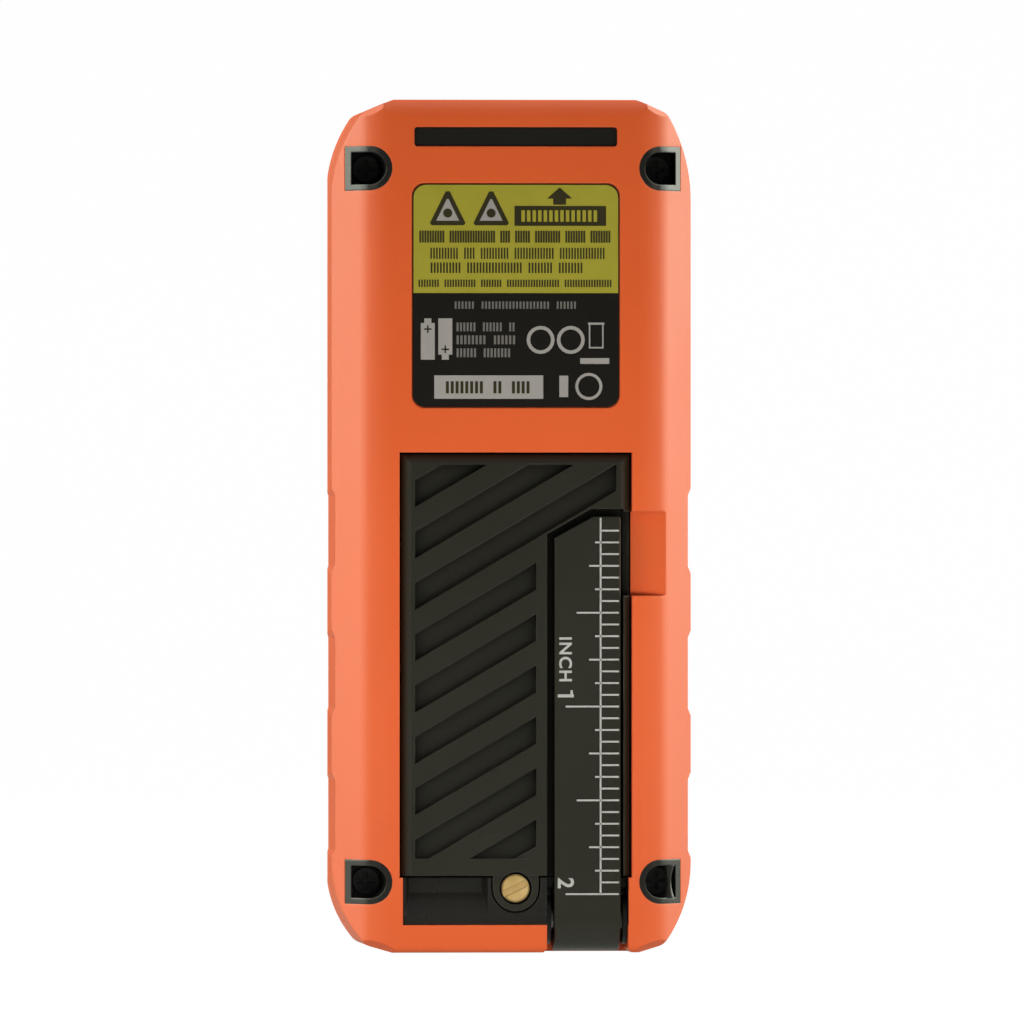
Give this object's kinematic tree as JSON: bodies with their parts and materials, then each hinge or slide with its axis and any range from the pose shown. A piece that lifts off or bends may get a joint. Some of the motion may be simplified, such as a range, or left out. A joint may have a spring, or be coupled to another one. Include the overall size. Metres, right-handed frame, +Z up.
{
  "type": "laser distance meter",
  "caption": "Pocket laser distance meter with a rubber-jacketed case, screw-held battery cover, keypad and a fold-out end stop printed with a short ruler.",
  "frame": {"origin": "middle of the bounding box on the plane of the flat bottom end, which is the measuring reference; the meter stands on it", "axes": "+Z up the long axis towards the laser window, +Y out of the back (label, battery cover, foot), -Y out of the key face, +X to the right of someone looking at the key face"},
  "size_m": [0.049, 0.0284, 0.1155],
  "materials": {
    "orange_jacket": "soft overmould, satin",
    "black_shell": "moulded, semi-gloss",
    "black_face": "moulded, fine texture",
    "black_cover": "moulded, satin",
    "black_foot": "moulded, satin with printed scale",
    "seal_rubber": "soft",
    "clear_pane": "clear",
    "lens_glass": "coated",
    "label_foil": "printed foil",
    "brass_screw": "turned",
    "brass_insert": "turned",
    "bright_steel": "plated",
    "dark_steel": "blackened",
    "cell_wrap": "shrink film over a steel can",
    "nickel_plate": "nickel plated",
    "circuit_board": "solder mask",
    "chip_epoxy": "moulded epoxy",
    "mat_silicone": "soft",
    "display_glass": "grey liquid crystal cell",
    "white_frame": "moulded",
    "cast_frame": "die-cast",
    "flex_film": "polyimide film",
    "grey_key": "soft touch",
    "orange_key": "soft touch"
  },
  "bodies": {
    "root": {"battery_cover": "black_cover", "battery_left": "cell_wrap", "battery_right": "cell_wrap", "board_screws": "bright_steel", "bridge_contact": "nickel_plate", "buzzer": "chip_epoxy", "case_screws": "dark_steel", "case_seal": "seal_rubber", "collimator_lens": "lens_glass", "contact_springs": "nickel_plate", "cover_seal": "seal_rubber", "detector": "nickel_plate", "detector_board": "circuit_board", "display_frame": "white_frame", "display_module": "display_glass", "display_window": "clear_pane", "emitter_window": "clear_pane", "end_cap": "black_shell", "end_contacts": "nickel_plate", "flex_strip": "flex_film", "front_jacket": "orange_jacket", "front_shell": "black_face", "hinge_pin": "bright_steel", "hinge_washers": "black_shell", "key_domes": "nickel_plate", "keypad_mat": "mat_silicone", "label_plate": "label_foil", "lanyard_post": "black_shell", "laser_diode": "brass_insert", "laser_tube": "brass_insert", "main_board": "circuit_board", "optics_frame": "cast_frame", "optics_screws": "bright_steel", "processor_chip": "chip_epoxy", "range_chip": "chip_epoxy", "rear_jacket": "orange_jacket", "rear_shell": "black_shell", "receiver_lens": "lens_glass", "receiver_window": "clear_pane", "screw_insert": "brass_insert"},
    "foot": {"foot": "black_foot"},
    "cover_screw": {"cover_screw": "brass_screw", "screw_clip": "bright_steel"},
    "area_key": {"area_key": "grey_key"},
    "clear_key": {"clear_key": "grey_key"},
    "height_key": {"height_key": "grey_key"},
    "light_key": {"light_key": "grey_key"},
    "measure_key": {"measure_key": "orange_key"},
    "minus_key": {"minus_key": "grey_key"},
    "plus_key": {"plus_key": "grey_key"},
    "recall_key": {"recall_key": "grey_key"},
    "reference_key": {"reference_key": "grey_key"}
  },
  "joints": [
    {"name": "foot_fold", "type": "hinge", "parent": "root", "child": "foot", "pos_m": [-0.00975, 0.0099, 0.0044], "axis": [-1, 0, 0], "range_deg": [0, 180]},
    {"name": "cover_screw_turn", "type": "hinge", "parent": "root", "child": "cover_screw", "pos_m": [0, 0.0136, 0.0087], "axis": [0, 1, 0], "continuous": true},
    {"name": "area_key_press", "type": "slide", "parent": "root", "child": "area_key", "axis": [0, 1, 0], "range_m": [0, 0.0006], "stiffness_N_per_m": 500},
    {"name": "clear_key_press", "type": "slide", "parent": "root", "child": "clear_key", "axis": [0, 1, 0], "range_m": [0, 0.0006], "stiffness_N_per_m": 500},
    {"name": "height_key_press", "type": "slide", "parent": "root", "child": "height_key", "axis": [0, 1, 0], "range_m": [0, 0.0006], "stiffness_N_per_m": 500},
    {"name": "light_key_press", "type": "slide", "parent": "root", "child": "light_key", "axis": [0, 1, 0], "range_m": [0, 0.0006], "stiffness_N_per_m": 500},
    {"name": "measure_key_press", "type": "slide", "parent": "root", "child": "measure_key", "axis": [0, 1, 0], "range_m": [0, 0.0006], "stiffness_N_per_m": 500},
    {"name": "minus_key_press", "type": "slide", "parent": "root", "child": "minus_key", "axis": [0, 1, 0], "range_m": [0, 0.0006], "stiffness_N_per_m": 500},
    {"name": "plus_key_press", "type": "slide", "parent": "root", "child": "plus_key", "axis": [0, 1, 0], "range_m": [0, 0.0006], "stiffness_N_per_m": 500},
    {"name": "recall_key_press", "type": "slide", "parent": "root", "child": "recall_key", "axis": [0, 1, 0], "range_m": [0, 0.0006], "stiffness_N_per_m": 500},
    {"name": "reference_key_press", "type": "slide", "parent": "root", "child": "reference_key", "axis": [0, 1, 0], "range_m": [0, 0.0006], "stiffness_N_per_m": 500}
  ]
}
